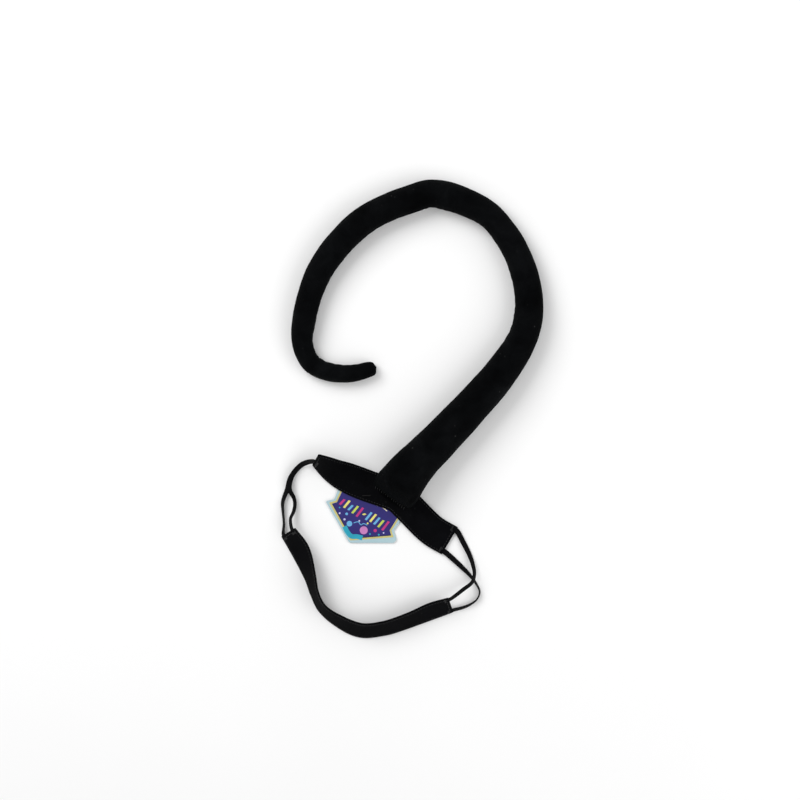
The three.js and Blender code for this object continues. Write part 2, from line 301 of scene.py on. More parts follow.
# name: place across the back band's end, stations x, y, z and tilt, place across the front band's end.
ELASTICS = {
    "elastic_left_outer": (
        -0.33,
        [
            (-120, -60.3, 3.2, -40),
            (-132, -73, 2.2, -12),
            (-136.5, -87, 2.4, 25),
            (-141.5, -101.5, 3, 50),
            (-141.2, -112, 3.3, 62),
            (-140.2, -125, 3.4, 66),
        ],
        -0.33,
    ),
    "elastic_left_inner": (
        -0.12,
        [
            (-119.5, -58.5, 9.6, -45),
            (-131.3, -72.3, 6.6, -14),
            (-134, -86.5, 7, 15),
            (-129, -97, 4.2, 45),
            (-128, -104, 4, 50),
            (-129.5, -112, 6.5, 55),
            (-132.5, -119.5, 11, 62),
        ],
        0.3,
    ),
    "elastic_right_outer": (
        0.38,
        [
            (58.5, -147, 2.6, -15),
            (64.5, -159, 3.2, -30),
            (68.6, -171, 5.8, -45),
            (70, -180.5, 8.4, -52),
            (67.5, -189, 10.6, -50),
            (57, -197.3, 14, -44),
        ],
        0.38,
    ),
    "elastic_right_inner": (
        -0.38,
        [
            (45.4, -163, 2.6, -15),
            (57.2, -174, 2.7, -35),
            (65.6, -182.5, 3.2, -58),
            (72.5, -192, 3.4, -72),
            (76, -200.5, 3.5, -76),
            (73, -208.5, 3.5, -74),
            (66, -214, 3.4, -65),
            (58, -217.5, 3.2, -55),
        ],
        -0.39,
    ),
}


def band_end(line, width, place, right, outwards):
    """A point across a band's end, outwards metres past it, and the band's width direction there."""
    s = line.length if right else 0.0
    away = line.direction(s) * (1 if right else -1)
    across = line.value("width", s)
    return line.at(s) + across * place * width + away * outwards, across


def elastic_line(name):
    """The middle line of an elastic, from inside the back band to inside the front band."""
    back_place, stations, front_place = ELASTICS[name]
    right = "right" in name
    ends = [
        band_end(back_line, BACK_WIDTH, back_place, right, -ELASTIC_TUCK),
        band_end(back_line, BACK_WIDTH, back_place, right, ELASTIC_THICK),
        band_end(front_line, FRONT_WIDTH, front_place, right, ELASTIC_THICK),
        band_end(front_line, FRONT_WIDTH, front_place, right, -ELASTIC_TUCK),
    ]
    free = np.array(stations, float)
    places = [ends[0][0], ends[1][0], *(free[:, :3] * MM), ends[2][0], ends[3][0]]
    points = smooth_line(places)
    along = unit(np.gradient(points, axis=0))
    leans = []
    for row, tilt in enumerate(np.radians(free[:, 3])):
        across = np.cross(UP, along[(row + 2) * PER_SPAN])
        leans.append(unit(across) * math.cos(tilt) + UP * math.sin(tilt))
    widths = [ends[0][1], ends[1][1], *leans, ends[2][1], ends[3][1]]
    for i in range(1, len(widths)):
        if np.dot(widths[i], widths[i - 1]) < 0:
            widths[i] = -widths[i]
    width = smooth_line(widths, even=True)
    width = unit(width - along * np.sum(width * along, -1, keepdims=True))
    return Line(points, width=width, face=unit(np.cross(along, width)))


# %% Elastic pieces
ELASTIC_STEP = 1.2 * MM
ELASTIC_AROUND = 16


def elastic_piece(name):
    line = elastic_line(name)
    rule = strip_rule(line, ELASTIC_WIDTH, -ELASTIC_THICK / 2, ELASTIC_THICK / 2)
    steps = round(line.length / ELASTIC_STEP)
    bm = rolled(f"{name}_strip", steps, ELASTIC_AROUND, rule, (line.length, 2 * ELASTIC_WIDTH))
    piece = to_object(bm, f"{name}_strip")
    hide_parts(name)
    tuple(line.at(0.0))
    tuple(line.at(line.length))
    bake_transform(piece)
    tuple(line.at(0.0))
    [tuple(p) for p in line.at(np.linspace(0, line.length, 40))]
    print(f"{name}: {line.length * 1000:.0f} mm")
    return piece


elastics = [elastic_piece(name) for name in ELASTICS]

# %% [markdown]
# ## Materials, first the shared effects
# Three effects come back in several finishes: the short pile of velour, a plain weave, and the pale lint
# that every black cloth picks up. Each is a node group with named sockets that gives only values, and the
# shader itself stays in each material.

# %% Node helpers
FLOAT, VECTOR = "NodeSocketFloat", "NodeSocketVector"
MIX_A, MIX_B, MIX_RESULT = 6, 7, 2  # the colour sockets of a Mix node


def wire(tree, *links):
    """Joins sockets, each pair given as (from node, output, to node, input)."""
    for a, output, b, put in links:
        tree.links.new(a.outputs[output], b.inputs[put])


def add(tree, kind, **settings):
    """A node with its settings, written with _ for a space. Names that are inputs set the socket's value."""
    made = tree.nodes.new(kind)
    for key, value in settings.items():
        name = key.replace("_", " ")
        if name in made.inputs:
            made.inputs[name].default_value = value
        else:
            setattr(made, key, value)
    return made


def math_node(tree, operation, first, second=None):
    """A Math node. first and second are (node, output) or numbers."""
    made = add(tree, "ShaderNodeMath", operation=operation)
    for i, put in enumerate((first, second)):
        if isinstance(put, tuple):
            wire(tree, (*put, made, i))
        elif put is not None:
            made.inputs[i].default_value = put
    return made


def ramp(tree, factor, low, high):
    """A value that goes from 0 where (node, output) is low to 1 where it is high."""
    made = add(tree, "ShaderNodeMapRange", From_Min=low, From_Max=high)
    wire(tree, (*factor, made, "Value"))
    return made


def new_group(name, inputs, outputs):
    """An empty node group with its sockets, and its input and output nodes."""
    tree = bpy.data.node_groups.new(name, "ShaderNodeTree")
    for label, kind, value in inputs:
        socket = tree.interface.new_socket(label, in_out="INPUT", socket_type=kind)
        if value is not None:
            socket.default_value = value
    for label in outputs:
        tree.interface.new_socket(label, in_out="OUTPUT", socket_type=FLOAT)
    return tree, tree.nodes.new("NodeGroupInput"), tree.nodes.new("NodeGroupOutput")


# %% Pile: the brushed nap of velour
def make_pile():
    """Shade is the slow change of the nap's lie. In the cloth colours it makes lighter, bluish patches, a
    painted sheen standing for light caught by the nap; it also drives roughness and a bump. Height is the
    single tufts.
    """
    tree, put, out = new_group(
        "Pile",
        [("Vector", VECTOR, None), ("Brush size", FLOAT, 45.0), ("Tuft size", FLOAT, 1500.0)],
        ["Shade", "Height"],
    )
    brush = add(tree, "ShaderNodeTexNoise", Detail=4.0, Roughness=0.6, Distortion=0.6)
    tufts = add(tree, "ShaderNodeTexNoise", Detail=3.0, Roughness=0.7)
    slow = add(tree, "ShaderNodeTexNoise", Detail=2.0, Scale=18.0)
    for texture in (brush, tufts, slow):
        wire(tree, (put, "Vector", texture, "Vector"))
    wire(tree, (put, "Brush size", brush, "Scale"), (put, "Tuft size", tufts, "Scale"))
    both = math_node(tree, "MULTIPLY", (brush, "Fac"), (slow, "Fac"))
    shade = ramp(tree, (both, "Value"), 0.12, 0.42)
    wire(tree, (shade, "Result", out, "Shade"), (tufts, "Fac", out, "Height"))
    return tree


pile = make_pile()


# %% Weave: threads over and under
def make_weave():
    """Height is 1 on the crown of a thread. Vector is in metres along and across the cloth. Shade is that
    height times a random noise; as a colour it paints the crowns lighter and the gaps between threads darker, a
    painted highlight and painted shade.
    """
    tree, put, out = new_group(
        "Weave",
        [("Vector", VECTOR, None), ("Along pitch", FLOAT, 0.0006), ("Across pitch", FLOAT, 0.0006)],
        ["Height", "Shade"],
    )
    parts = add(tree, "ShaderNodeSeparateXYZ")
    wire(tree, (put, "Vector", parts, "Vector"))
    waves = []
    for axis, pitch in (("X", "Along pitch"), ("Y", "Across pitch")):
        turns = math_node(tree, "DIVIDE", (parts, axis), (put, pitch))
        angle = math_node(tree, "MULTIPLY", (turns, "Value"), 2 * math.pi)
        waves.append(math_node(tree, "SINE", (angle, "Value")))
    crossing = math_node(tree, "MULTIPLY", (waves[0], "Value"), (waves[1], "Value"))
    half = math_node(tree, "MULTIPLY", (crossing, "Value"), 0.5)
    height = math_node(tree, "ADD", (half, "Value"), 0.5)
    uneven = add(tree, "ShaderNodeTexNoise", Detail=3.0, Scale=300.0)
    wire(tree, (put, "Vector", uneven, "Vector"))
    shade = math_node(tree, "MULTIPLY", (height, "Value"), (uneven, "Fac"))
    wire(tree, (height, "Value", out, "Height"), (shade, "Value", out, "Shade"))
    return tree


weave = make_weave()


# %% Lint: pale specks caught in the cloth
def make_lint():
    tree, put, out = new_group(
        "Lint",
        [("Vector", VECTOR, None), ("Spacing", FLOAT, 160.0), ("Amount", FLOAT, 0.5)],
        ["Mask"],
    )
    specks = add(tree, "ShaderNodeTexVoronoi", feature="F1", Randomness=1.0)
    some = add(tree, "ShaderNodeTexNoise", Detail=1.0, Scale=35.0)
    for texture in (specks, some):
        wire(tree, (put, "Vector", texture, "Vector"))
    wire(tree, (put, "Spacing", specks, "Scale"))
    near = ramp(tree, (specks, "Distance"), 0.11, 0.06)
    patch = ramp(tree, (some, "Fac"), 0.5, 0.62)
    here = math_node(tree, "MULTIPLY", (near, "Result"), (patch, "Result"))
    mask = math_node(tree, "MULTIPLY", (here, "Value"), (put, "Amount"))
    wire(tree, (mask, "Value", out, "Mask"))
    return tree


lint = make_lint()

# %% [markdown]
# ## Cloth finishes
# Velour looks black until light grazes it, so its colour stays very dark and a sheen lobe lifts the edges.
# The colours of velour and bands also hold a painted sheen: lighter, bluish patches placed by noise stand
# for light caught by the nap. The bands are a closer, flatter cloth with a visible weave, and the elastics
# are ribbed along their length. In both, the thread crowns and ribs are painted lighter and the gaps darker,
# a painted highlight and painted shade.


# %% Shader helpers
def new_material(name):
    """A material with its tree, its Principled shader and its texture coordinates."""
    made = bpy.data.materials.new(name)
    made.use_nodes = True
    tree = made.node_tree
    return made, tree, tree.nodes["Principled BSDF"], tree.nodes.new("ShaderNodeTexCoord")


def use(tree, group, **settings):
    """A group node with values on its inputs."""
    return add(tree, "ShaderNodeGroup", node_tree=group, **settings)


def grain(tree, place, **settings):
    """Noise on Object coordinates."""
    made = add(tree, "ShaderNodeTexNoise", **settings)
    wire(tree, (place, "Object", made, "Vector"))
    return made


def tint(tree, factor, dark, light):
    """Mixes two colours by (node, output). A colour is three numbers or an earlier mix."""
    mix = add(tree, "ShaderNodeMix", data_type="RGBA")
    wire(tree, (*factor, mix, "Factor"))
    for socket, value in ((MIX_A, dark), (MIX_B, light)):
        if isinstance(value, tuple):
            mix.inputs[socket].default_value = (*value, 1)
        else:
            wire(tree, (value, MIX_RESULT, mix, socket))
    return mix


def bump(tree, height, distance, strength, under=None):
    """A Bump node over (node, output), with an earlier bump under it."""
    made = add(tree, "ShaderNodeBump", Strength=strength, Distance=distance)
    wire(tree, (*height, made, "Height"))
    if under is not None:
        wire(tree, (under, "Normal", made, "Normal"))
    return made


def roughen(tree, shader, factor, low, high):
    """Lets the roughness go from low to high with (node, output)."""
    spread = add(tree, "ShaderNodeMapRange", To_Min=low, To_Max=high)
    wire(tree, (*factor, spread, "Value"), (spread, "Result", shader, "Roughness"))


def coat(tree, shader, colour, normal=None, **values):
    """Gives the shader its colour, its normal and its fixed values."""
    wire(tree, (colour, MIX_RESULT, shader, "Base Color"))
    if normal is not None:
        wire(tree, (normal, "Normal", shader, "Normal"))
    for key, value in values.items():
        shader.inputs[key.replace("_", " ")].default_value = value


LINT_COLOUR = (0.055, 0.055, 0.053)


# %% Velour
def velour():
    made, tree, shader, place = new_material("black_velour")
    nap = use(tree, pile)
    fluff = use(tree, lint, Spacing=110.0, Amount=0.5)
    for group in (nap, fluff):
        wire(tree, (place, "Object", group, "Vector"))
    # The nap's Shade lightens the colour in bluish patches: a painted sheen of the pile, placed at random by
    # noise.
    cloth = tint(tree, (nap, "Shade"), (0.0007, 0.0008, 0.0010), (0.0027, 0.0031, 0.0036))
    colour = tint(tree, (fluff, "Mask"), cloth, LINT_COLOUR)
    roughen(tree, shader, (nap, "Shade"), 0.95, 0.72)
    tufts = bump(tree, (nap, "Height"), 0.0006, 0.7)
    brushed = bump(tree, (nap, "Shade"), 0.0010, 0.5, tufts)
    coat(
        tree,
        shader,
        colour,
        brushed,
        Sheen_Weight=0.007,
        Sheen_Roughness=0.4,
        Sheen_Tint=(0.72, 0.86, 0.84, 1),
        Specular_IOR_Level=0.03,
    )
    return made


# %% Band cloth and elastic
def band_cloth():
    made, tree, shader, place = new_material("black_band_cloth")
    threads = use(tree, weave, Along_pitch=0.0007, Across_pitch=0.0007)
    nap = use(tree, pile, Brush_size=60.0, Tuft_size=2200.0)
    fluff = use(tree, lint, Spacing=130.0, Amount=0.45)
    wire(tree, (place, "UV", threads, "Vector"))
    for group in (nap, fluff):
        wire(tree, (place, "Object", group, "Vector"))
    # As on the velour, the nap's Shade lightens the colour in bluish patches: a painted sheen, placed at random
    # by noise.
    cloth = tint(tree, (nap, "Shade"), (0.0008, 0.0008, 0.0011), (0.0027, 0.0028, 0.0036))
    # Thread crowns lighter, gaps darker: painted highlight and painted shade of the weave, with random tone
    # from its noise.
    painted_weave_light = tint(tree, (threads, "Shade"), cloth, (0.0030, 0.0031, 0.0040))
    colour = tint(tree, (fluff, "Mask"), painted_weave_light, LINT_COLOUR)
    woven = bump(tree, (threads, "Height"), 0.00016, 0.8)
    fuzzy = bump(tree, (nap, "Height"), 0.0003, 0.5, woven)
    sheen = {"Sheen_Weight": 0.004, "Sheen_Roughness": 0.5}
    coat(tree, shader, colour, fuzzy, Roughness=0.82, Specular_IOR_Level=0.035, **sheen)
    return made


def elastic_web():
    made, tree, shader, place = new_material("black_elastic")
    ribs = use(tree, weave, Along_pitch=0.0009, Across_pitch=0.0012)
    fluff = use(tree, lint, Spacing=150.0, Amount=0.3)
    wire(tree, (place, "UV", ribs, "Vector"), (place, "Object", fluff, "Vector"))
    # Rib crowns lighter, gaps darker: painted highlight and painted shade of the ribs, with random tone from
    # the weave's noise.
    cloth = tint(tree, (ribs, "Shade"), (0.0008, 0.0008, 0.0011), (0.0042, 0.0042, 0.0052))
    colour = tint(tree, (fluff, "Mask"), cloth, LINT_COLOUR)
    ribbed = bump(tree, (ribs, "Height"), 0.00025, 0.9)
    coat(tree, shader, colour, ribbed, Roughness=0.6, Sheen_Weight=0.004, Specular_IOR_Level=0.06)
    return made


def thread():
    """Polyester sewing thread: a tight twist with a slight shine. Its colour is lighter on the twist's ridges
    and darker in its grooves, a painted highlight and painted shade.
    """
    made, tree, shader, place = new_material("black_thread")
    twist = add(tree, "ShaderNodeTexWave", Scale=900.0, Distortion=1.5, wave_type="BANDS")
    wire(tree, (place, "Object", twist, "Vector"))
    # Lighter on the twist's ridges, darker in its grooves: painted highlight and painted shade.
    colour = tint(tree, (twist, "Fac"), (0.0015, 0.0015, 0.0018), (0.0055, 0.0055, 0.0065))
    coat(tree, shader, colour, bump(tree, (twist, "Fac"), 0.0001, 0.6), Roughness=0.45)
    return made


black_velour = velour()
black_band_cloth = band_cloth()
black_elastic = elastic_web()
black_thread = thread()


def finish_with(piece, material):
    """Gives a piece its one material."""
    piece.data.materials.clear()
    piece.data.materials.append(material)


for strip in elastics:
    finish_with(strip, black_elastic)

# %% [markdown]
# ## The bands
# Each band is two sheets, face and lining, that meet in a pressed fold along both edges. The cloth is never
# quite flat: it waves a little out of its plane and its edges wander by a fraction of a millimetre. Face and
# lining share the same waves, so that they never pass through each other.

# %% Band sheets
BAND_STEP = 1.6 * MM
BAND_AROUND = 44
WAVE_HEIGHT = 0.27 * MM
PINCH_WIDTH = 2.2 * MM


def band_shape(line, width, side, seed):
    """How a layer leaves its plane: waves, and a pinch towards the other layer along the edges."""

    def shape(s, x):
        flat = np.stack([s, x, np.zeros_like(s)], -1)
        waves = WAVE_HEIGHT * (ripple(flat, 38, seed) + 0.5 * ripple(flat, 90, seed + 7))
        calm = eased(np.minimum(s, line.length - s) / (12 * MM))
        to_edge = np.clip((width / 2 - np.abs(x)) / PINCH_WIDTH, 0, 1)
        pinch = -side * LAYER_GAP * 0.5 * (1 - eased(to_edge))
        return waves * calm + pinch

    return shape


def band_piece(name, node, body, line, width, side, seed):
    inner, outer = LAYER_GAP / 2, LAYER_GAP / 2 + LAYER
    low, high = (inner, outer) if side > 0 else (-outer, -inner)
    rule = strip_rule(line, width, low, high, band_shape(line, width, side, seed))
    steps = round(line.length / BAND_STEP)
    piece = to_object(rolled(name, steps, BAND_AROUND, rule, (line.length, 2 * width)), name)
    finish_with(piece, black_band_cloth)
    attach(piece, body)
    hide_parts(node)
    return piece


BACK_SEED, FRONT_SEED = 3.0, 11.0
bands = [
    band_piece("back_band_outside", "back_band_face", "back_belt", back_line, BACK_WIDTH, 1, BACK_SEED),
    band_piece("back_band_inside", "back_band_lining", "back_belt", back_line, BACK_WIDTH, -1, BACK_SEED),
    band_piece("front_band_outside", "front_band_face", "front_belt", front_line, FRONT_WIDTH, 1, FRONT_SEED),
    band_piece("front_band_inside", "front_band_lining", "front_belt", front_line, FRONT_WIDTH, -1, FRONT_SEED),
]
print("band sheets:", [band.name for band in bands])

# %% [markdown]
# ## The tail's line and section
# The tail follows one line from its sewn end to its tip, round at every place but the sewn end, where the
# tube is pressed flat. It climbs on the band over its first few centimetres and lies on the floor after
# that.

# %% Tail sizes and route
TAIL_ROUTE = [
    (-23, -96),
    (-1, -66),
    (34, -30),
    (67, 5),
    (98, 41),
    (123, 80),
    (130, 117),
    (120, 164),
    (88, 213),
    (46, 234),
    (22, 238),
    (-1, 232),
    (-45, 213),
    (-80, 182),
    (-105, 143),
    (-118, 97),
    (-119, 73),
    (-109, 52),
    (-88, 42),
    (-64, 41),
    (-38, 48),
]
TAIL_RADIUS = [
    (0, 25.4),
    (16, 26.2),
    (40, 23.6),
    (62, 21.9),
    (85, 21),
    (180, 18.6),
    (230, 16.3),
    (300, 14.9),
    (370, 14.2),
    (425, 16),
    (470, 15.5),
    (540, 15.5),
    (610, 14.2),
    (660, 12.9),
    (700, 10.7),
    (755, 9.5),
    (785, 7.4),
]
HINGES = [80, 170, 260, 350, 440, 530, 615, 695]
TAIL_FLAT = 32 * MM
TAIL_FLAT_HEIGHT = 4 * MM
TAIL_END_WIDTH = 23.5 * MM
TAIL_TIP_ROUND = 7 * MM
TAIL_ON_BAND = 24 * MM
TAIL_TO_FLOOR = 80 * MM
SEAT_GAP = 0.6 * MM
TAIL_SEAT_Z = BAND_TOP_Z + LAYER + SEAT_GAP

tail_line = Line(smooth_line([(x * MM, y * MM, 0) for x, y in TAIL_ROUTE], count=60))
TAIL_LENGTH = tail_line.length
print(f"tail {TAIL_LENGTH * 1000:.0f} mm along its middle")


def tail_radius(s):
    keys = np.array(TAIL_RADIUS, float) * MM
    return np.interp(s, keys[:, 0], keys[:, 1])


def tail_section(s):
    """Middle, sideways direction, half width and half height of the tail at distances s."""
    middle = tail_line.at(s)
    side = np.cross(UP, tail_line.direction(s))
    radius = tail_radius(s)
    to_end = np.clip(1 - s / TAIL_FLAT, 0, 1)
    to_tip = np.clip(1 - (TAIL_LENGTH - s) / TAIL_TIP_ROUND, 0, 1)
    tip = np.sqrt(np.clip(1 - to_tip**2.6, 0, 1))
    high = np.maximum(radius * np.sqrt(1 - to_end**2), TAIL_FLAT_HEIGHT / 2) * tip
    wide = (TAIL_END_WIDTH + (radius - TAIL_END_WIDTH) * np.sqrt(1 - to_end**3)) * tip
    resting = np.maximum(tail_radius(s) * np.sqrt(1 - to_end**2), TAIL_FLAT_HEIGHT / 2)
    seat = TAIL_SEAT_Z * (1 - eased((s - TAIL_ON_BAND) / (TAIL_TO_FLOOR - TAIL_ON_BAND)))
    middle[:, 2] = seat + resting
    return middle, side, wide, high


# %% [markdown]
# ## Stuffing and folds
# A stuffed tube shows what is inside it. The fibre makes soft lumps. On the inside of each bend the cloth
# has nowhere to go and folds across, most where the bend is tightest. One long seam runs along the tube's
# inner side, a little below the middle. The sewn end is gathered into pleats, and the tip is drawn in.

# %% Surface detail of the cover
LUMP = 0.5 * MM
FOLD_DEPTH = 0.9 * MM
FOLD_SPACING = 10 * MM
FOLD_GAIN, FOLD_MOST = 5.5, 1.3  # how fast the folds deepen as a bend gets tighter, and their most
FOLD_NARROW = 1.4  # how closely the folds keep to the inside of a bend
FOLD_WANDER, FOLD_SLANT = 0.9, 0.25
FOLD_SOFT, FOLD_SWELL = 0.7, 0.3
SEAM_ANGLE = math.radians(205)
SEAM_DEPTH = 0.9 * MM
SEAM_WIDTH = 1.5 * MM
SEAM_SWELL = 0.35 * MM
SEAM_SWELL_AT = 3 * MM
PLEATS = 13
PLEAT_DEPTH = 1.3 * MM
PLEAT_LENGTH = 26 * MM
TIP_PLEATS = 7
TIP_PLEAT_DEPTH = 0.6 * MM
TIP_DRAWN = 12 * MM
CREASE_AT = 446 * MM
CREASE_DEPTH = 0.8 * MM
CREASE_WIDTH = 9 * MM
BEND_SPAN = 8 * MM


def bell(distance, width):
    return np.exp(-((distance / width) ** 2))


def tail_curvature(s):
    """How sharply the tail turns to its left at distance s, in radians per metre."""
    before, after = tail_line.direction(s - BEND_SPAN), tail_line.direction(s + BEND_SPAN)
    return np.cross(before, after)[:, 2] / (2 * BEND_SPAN)


def inner_folds(s, angle, around, radius):
    """Cross folds on the inside of the bends, deeper where the bend is tighter."""
    bend = np.clip(FOLD_GAIN * tail_curvature(s) * radius, 0, FOLD_MOST)
    inside = np.clip(np.cos(angle), 0, 1) ** FOLD_NARROW
    phase = s / FOLD_SPACING + FOLD_WANDER * ripple(around, 30, 5.0) + FOLD_SLANT * np.abs(np.sin(angle))
    valley = 1 - np.abs(np.sin(math.pi * phase)) ** FOLD_SOFT
    uneven = 0.55 + 0.45 * ripple(around, 60, 8.0)
    return FOLD_DEPTH * bend * inside * (FOLD_SWELL - valley) * uneven


def long_seam(angle, radius):
    """The seam's groove, with the cloth swelling a little along both sides of it."""
    off = (np.mod(angle - SEAM_ANGLE + math.pi, 2 * math.pi) - math.pi) * radius
    return SEAM_SWELL * bell(np.abs(off) - SEAM_SWELL_AT, 2.2 * MM) - SEAM_DEPTH * bell(off, SEAM_WIDTH)


def end_gathers(s, angle, around):
    """Pleats at the sewn end and puckers at the tip."""
    wander = 1.6 * ripple(around, 30, 5.0)
    pleats = PLEAT_DEPTH * (1 - eased(s / PLEAT_LENGTH)) * (0.5 + 0.5 * np.cos(PLEATS * angle + wander)) ** 2
    at_tip = 1 - eased((TAIL_LENGTH - s) / TIP_DRAWN)
    puckers = TIP_PLEAT_DEPTH * at_tip * (0.5 + 0.5 * np.cos(TIP_PLEATS * angle))
    return -pleats - puckers


def cover_relief(s, angle, radius):
    """How far the cover stands off its plain tube at distance s and an angle round it, 0 on its left."""
    around = np.stack([s, np.cos(angle) * radius, np.sin(angle) * radius], -1)
    lumps = LUMP * (ripple(around, 42, 2.0) + 0.45 * ripple(around, 110, 9.0))
    crease = CREASE_DEPTH * bell(s - CREASE_AT, CREASE_WIDTH) * np.clip(np.cos(angle), 0, 1) ** 2
    folds = inner_folds(s, angle, around, radius)
    return lumps + folds + long_seam(angle, radius) + end_gathers(s, angle, around) - crease


COVER_THICK = 1.0 * MM
FLOOR_CONTACT = 0.15 * MM
LEAST_HALF = 1 * MM


def tube_rule(start, stop, inset=0.0, relief=None, radius=None, shut=(False, False)):
    """The rule of a tube along the tail from start to stop, inset from the plain tail or of one radius.
    shut says which ends are drawn to a point, for a closed end."""

    def rule(u, v):
        s = start + (stop - start) * u
        angle = 2 * math.pi * v
        middle, side, wide, high = tail_section(s)
        off = np.full_like(s, -inset)
        if relief is not None:
            off = off + relief(s, angle, np.maximum(high, LEAST_HALF))
        reach_wide = wide + off if radius is None else np.minimum(radius, wide - inset)
        reach_high = high + off if radius is None else np.minimum(radius, high - inset)
        drawn = ((u < WELD) & shut[0]) | ((u > 1 - WELD) & shut[1])
        grip = np.where(drawn, 0.0, 1.0)
        place = middle + side * (np.cos(angle) * reach_wide * grip)[:, None]
        place[:, 2] += np.sin(angle) * reach_high * grip
        place[:, 2] = np.maximum(place[:, 2], FLOOR_CONTACT)
        return place

    return rule


# %% [markdown]
# ## Cutting the tail at its hinges
# The tail bends at eight places. So cover, filling and wire are each made in eight lengths, cut midway between
# hinges, with one hinge in each. Neighbours share the same ring of points, so at rest they read as one tube.
# With every joint at its upper limit at once some of them still part.

# %% Tail lengths
COVER_STEP = 2.2 * MM
COVER_AROUND = 84
BEND_REACH = 38 * MM
SHARP = math.radians(50)

hinge_at = [h * MM for h in HINGES]
cuts = [0.0, *[(a + b) / 2 for a, b in zip(hinge_at, hinge_at[1:])], TAIL_LENGTH]
last_length = len(hinge_at) - 1


def shell(bm, thickness):
    """Gives an open tube a wall inwards, closed at its rims, with crisp rims."""
    bmesh.ops.solidify(bm, geom=bm.faces[:], thickness=thickness)
    bmesh.ops.remove_doubles(bm, verts=bm.verts[:], dist=WELD)
    face_outwards(bm)
    for edge in bm.edges:
        edge.smooth = len(edge.link_faces) != 2 or edge.calc_face_angle(0) < SHARP


def follow_hinge(piece, index):
    """Only bakes the piece's transform into its mesh. It looks up the tail's middle on both sides of hinge
    number index, counted from 0, and leaves the piece unbent.
    """
    at = np.array([hinge_at[index] - BEND_REACH, hinge_at[index] + BEND_REACH])
    (start, end), *_ = tail_section(at)
    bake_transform(piece)


def tail_nodes(kind, index):
    """The solids that a length of the tail stands for. The last length has two."""
    numbers = [index + 1, index + 2] if index == last_length else [index + 1]
    return [f"tail_{kind}_{number}" for number in numbers]


def cover_piece(index):
    name = f"tail_cover_{index + 1}"
    start, stop = cuts[index], cuts[index + 1]
    steps = round((stop - start) / COVER_STEP)
    girth = 2 * math.pi * float(tail_radius(start))
    shut = (index == 0, index == last_length)
    rule = tube_rule(start, stop, relief=cover_relief, shut=shut)
    bm = rolled(name, steps, COVER_AROUND, rule, (stop - start, girth))
    shell(bm, COVER_THICK)
    piece = to_object(bm, name)
    finish_with(piece, black_velour)
    follow_hinge(piece, index)
    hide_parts(*tail_nodes("sleeve", index))
    return piece


covers = [cover_piece(i) for i in range(len(hinge_at))]
print("cover lengths:", len(covers))

# %% [markdown]
# ## Filling and wire
# Neither is seen, but both are real pieces, made in the same lengths as the cover.
# The filling is a lumpy rope of fibre a few millimetres inside the cover. The wire is a thin coated rod
# through its middle, which is what lets the tail hold its hook.

# %% Filling and wire
FILL_STEP = 5 * MM
FILL_AROUND = 32
FILL_INSET = 3.6 * MM
FILL_REACH = (4 * MM, TAIL_LENGTH - 4 * MM)
FILL_LUMP = 0.8 * MM
WIRE_RADIUS = 1.5 * MM
WIRE_STEP = 5 * MM
WIRE_AROUND = 12
WIRE_REACH = (16 * MM, TAIL_LENGTH - 12 * MM)


def fibre_lumps(s, angle, radius):
    around = np.stack([s, np.cos(angle) * radius, np.sin(angle) * radius], -1)
    return FILL_LUMP * ripple(around, 95, 4.0)


def inside_piece(kind, index, reach, slot, material, step, around, **rule):
    """A length of what is inside the tail, closed at both ends."""
    name = f"tail_{kind}_length_{index + 1}"
    start, stop = max(reach[0], cuts[index]), min(reach[1], cuts[index + 1])
    steps = round((stop - start) / step)
    rule = tube_rule(start, stop, shut=(True, True), **rule)
    piece = to_object(rolled(name, steps, around, rule, (stop - start, 1.0)), name)
    finish_with(piece, material)
    follow_hinge(piece, index)
    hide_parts(*tail_nodes(kind, index))
    return piece


def fibre():
    """Polyester stuffing: off-white tangled fibres."""
    made, tree, shader, place = new_material("white_fibre")
    tangle = grain(tree, place, Scale=260.0, Detail=5.0, Roughness=0.75, Distortion=2.0)
    colour = tint(tree, (tangle, "Fac"), (0.52, 0.51, 0.48), (0.86, 0.85, 0.82))
    coat(tree, shader, colour, bump(tree, (tangle, "Fac"), 0.0008, 0.8), Roughness=0.95, Sheen_Weight=0.3)
    return made


def coated_steel():
    """Bendable steel wire in a thin grey plastic coat, scuffed here and there."""
    made, tree, shader, place = new_material("coated_wire")
    scuff = grain(tree, place, Scale=140.0, Detail=4.0)
    roughen(tree, shader, (scuff, "Fac"), 0.28, 0.5)
    coat(tree, shader, tint(tree, (scuff, "Fac"), (0.22, 0.23, 0.24), (0.42, 0.43, 0.44)))
    return made


white_fibre, coated_wire = fibre(), coated_steel()
fill_look = ("polyester_fibre", white_fibre, FILL_STEP, FILL_AROUND)
wire_look = ("coated_wire", coated_wire, WIRE_STEP, WIRE_AROUND)
for i in range(len(hinge_at)):
    stuffing = inside_piece("fill", i, FILL_REACH, *fill_look, inset=FILL_INSET, relief=fibre_lumps)
    inside_piece("wire", i, WIRE_REACH, *wire_look, radius=WIRE_RADIUS)
print("filling and wire follow", len(hinge_at), "hinges")

# %% [markdown]
# ## Stitches
# A stitch is a short length of thread pulled down into cloth: a capsule, half sunk. Hundreds are needed, so
# each has only a few faces. All the stitches of one seam are one piece.

# %% Stitch helper
STITCH_LENGTH = 2.3 * MM
STITCH_THICK = 0.22 * MM
STITCH_SIDES = 6
STITCH_RINGS = 4


def frame_matrix(place, along, normal):
    """A matrix whose Z lies along the stitch and whose X points out of the cloth."""
    z = Vector(along).normalized()
    x = (Vector(normal) - z * Vector(normal).dot(z)).normalized()
    y = z.cross(x)
    matrix = Matrix((x, y, z)).transposed().to_4x4()
    matrix.translation = Vector(place)
    return matrix


